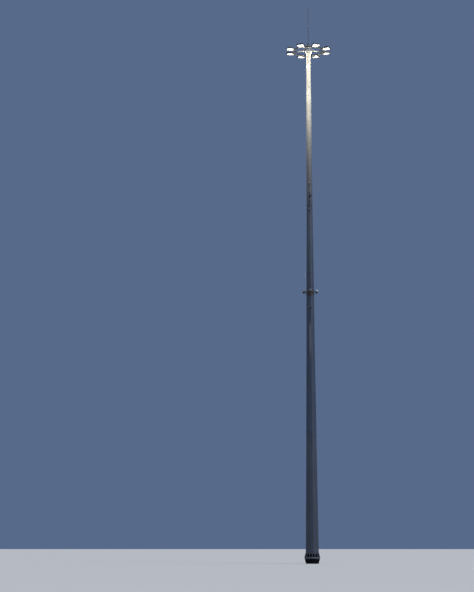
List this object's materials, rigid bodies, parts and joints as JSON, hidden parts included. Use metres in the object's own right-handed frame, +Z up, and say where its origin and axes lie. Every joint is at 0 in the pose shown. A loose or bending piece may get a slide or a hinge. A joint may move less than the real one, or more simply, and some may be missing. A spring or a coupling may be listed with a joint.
{
  "type": "high mast floodlight tower, 1:2 scale model",
  "caption": "Tall tapered steel mast with a ring of tilting floodlights, a lightning rod, a mid-height collar of dome units and a gusseted flange foot.",
  "frame": {"origin": "centre of the foundation stub's flat underside, at ground level", "axes": "+Z up the mast, -Y towards the front that the picture shows, +X to its right"},
  "size_m": [1.9932, 1.9932, 24.531],
  "materials": {
    "galvanised_steel": "weathered hot-dip galvanised",
    "black_coating": "matte bituminous coat",
    "lamp_aluminium": "powder coated, satin",
    "lamp_glass": "clear toughened",
    "white_plastic": "weathered satin",
    "dark_dome": "smoked gloss",
    "dark_paint": "satin",
    "rod_steel": "weathered"
  },
  "bodies": {
    "mast": {"foundation_stub": "black_coating", "base_flange": "galvanised_steel", "shaft_section_1": "galvanised_steel", "shaft_section_2": "galvanised_steel", "shaft_section_3": "galvanised_steel", "shaft_section_4": "galvanised_steel", "door_frame": "galvanised_steel", "access_door": "galvanised_steel", "upper_band": "galvanised_steel", "lower_band": "galvanised_steel", "dome_arms": "galvanised_steel", "dome_hoods": "white_plastic", "domes": "dark_dome", "side_antenna": "white_plastic", "antenna_bracket": "galvanised_steel", "junction_box": "dark_paint", "head_plate": "galvanised_steel", "head_drum": "galvanised_steel", "head_hood": "galvanised_steel", "rod_socket": "galvanised_steel", "lightning_rod": "rod_steel", "lamp_ring": "galvanised_steel", "ring_spokes": "galvanised_steel", "stirrups": "galvanised_steel"},
    "floodlight_1": {"lamp_1_housing": "lamp_aluminium", "lamp_1_glass": "lamp_glass"},
    "floodlight_2": {"lamp_2_housing": "lamp_aluminium", "lamp_2_glass": "lamp_glass"},
    "floodlight_3": {"lamp_3_housing": "lamp_aluminium", "lamp_3_glass": "lamp_glass"},
    "floodlight_4": {"lamp_4_housing": "lamp_aluminium", "lamp_4_glass": "lamp_glass"},
    "floodlight_5": {"lamp_5_housing": "lamp_aluminium", "lamp_5_glass": "lamp_glass"},
    "floodlight_6": {"lamp_6_housing": "lamp_aluminium", "lamp_6_glass": "lamp_glass"},
    "floodlight_7": {"lamp_7_housing": "lamp_aluminium", "lamp_7_glass": "lamp_glass"},
    "floodlight_8": {"lamp_8_housing": "lamp_aluminium", "lamp_8_glass": "lamp_glass"}
  },
  "joints": [
    {"name": "tilt_1", "type": "hinge", "parent": "mast", "child": "floodlight_1", "pos_m": [0.80378, 0.33293, 22.5], "axis": [0.3827, -0.9239, 0], "range_deg": [-20, 50]},
    {"name": "tilt_2", "type": "hinge", "parent": "mast", "child": "floodlight_2", "pos_m": [0.33293, 0.80378, 22.5], "axis": [0.9239, -0.3827, 0], "range_deg": [-20, 50]},
    {"name": "tilt_3", "type": "hinge", "parent": "mast", "child": "floodlight_3", "pos_m": [-0.33293, 0.80378, 22.5], "axis": [0.9239, 0.3827, 0], "range_deg": [-20, 50]},
    {"name": "tilt_4", "type": "hinge", "parent": "mast", "child": "floodlight_4", "pos_m": [-0.80378, 0.33293, 22.5], "axis": [0.3827, 0.9239, 0], "range_deg": [-20, 50]},
    {"name": "tilt_5", "type": "hinge", "parent": "mast", "child": "floodlight_5", "pos_m": [-0.80378, -0.33293, 22.5], "axis": [-0.3827, 0.9239, 0], "range_deg": [-20, 50]},
    {"name": "tilt_6", "type": "hinge", "parent": "mast", "child": "floodlight_6", "pos_m": [-0.33293, -0.80378, 22.5], "axis": [-0.9239, 0.3827, 0], "range_deg": [-20, 50]},
    {"name": "tilt_7", "type": "hinge", "parent": "mast", "child": "floodlight_7", "pos_m": [0.33293, -0.80378, 22.5], "axis": [-0.9239, -0.3827, 0], "range_deg": [-20, 50]},
    {"name": "tilt_8", "type": "hinge", "parent": "mast", "child": "floodlight_8", "pos_m": [0.80378, -0.33293, 22.5], "axis": [-0.3827, -0.9239, 0], "range_deg": [-20, 50]}
  ]
}
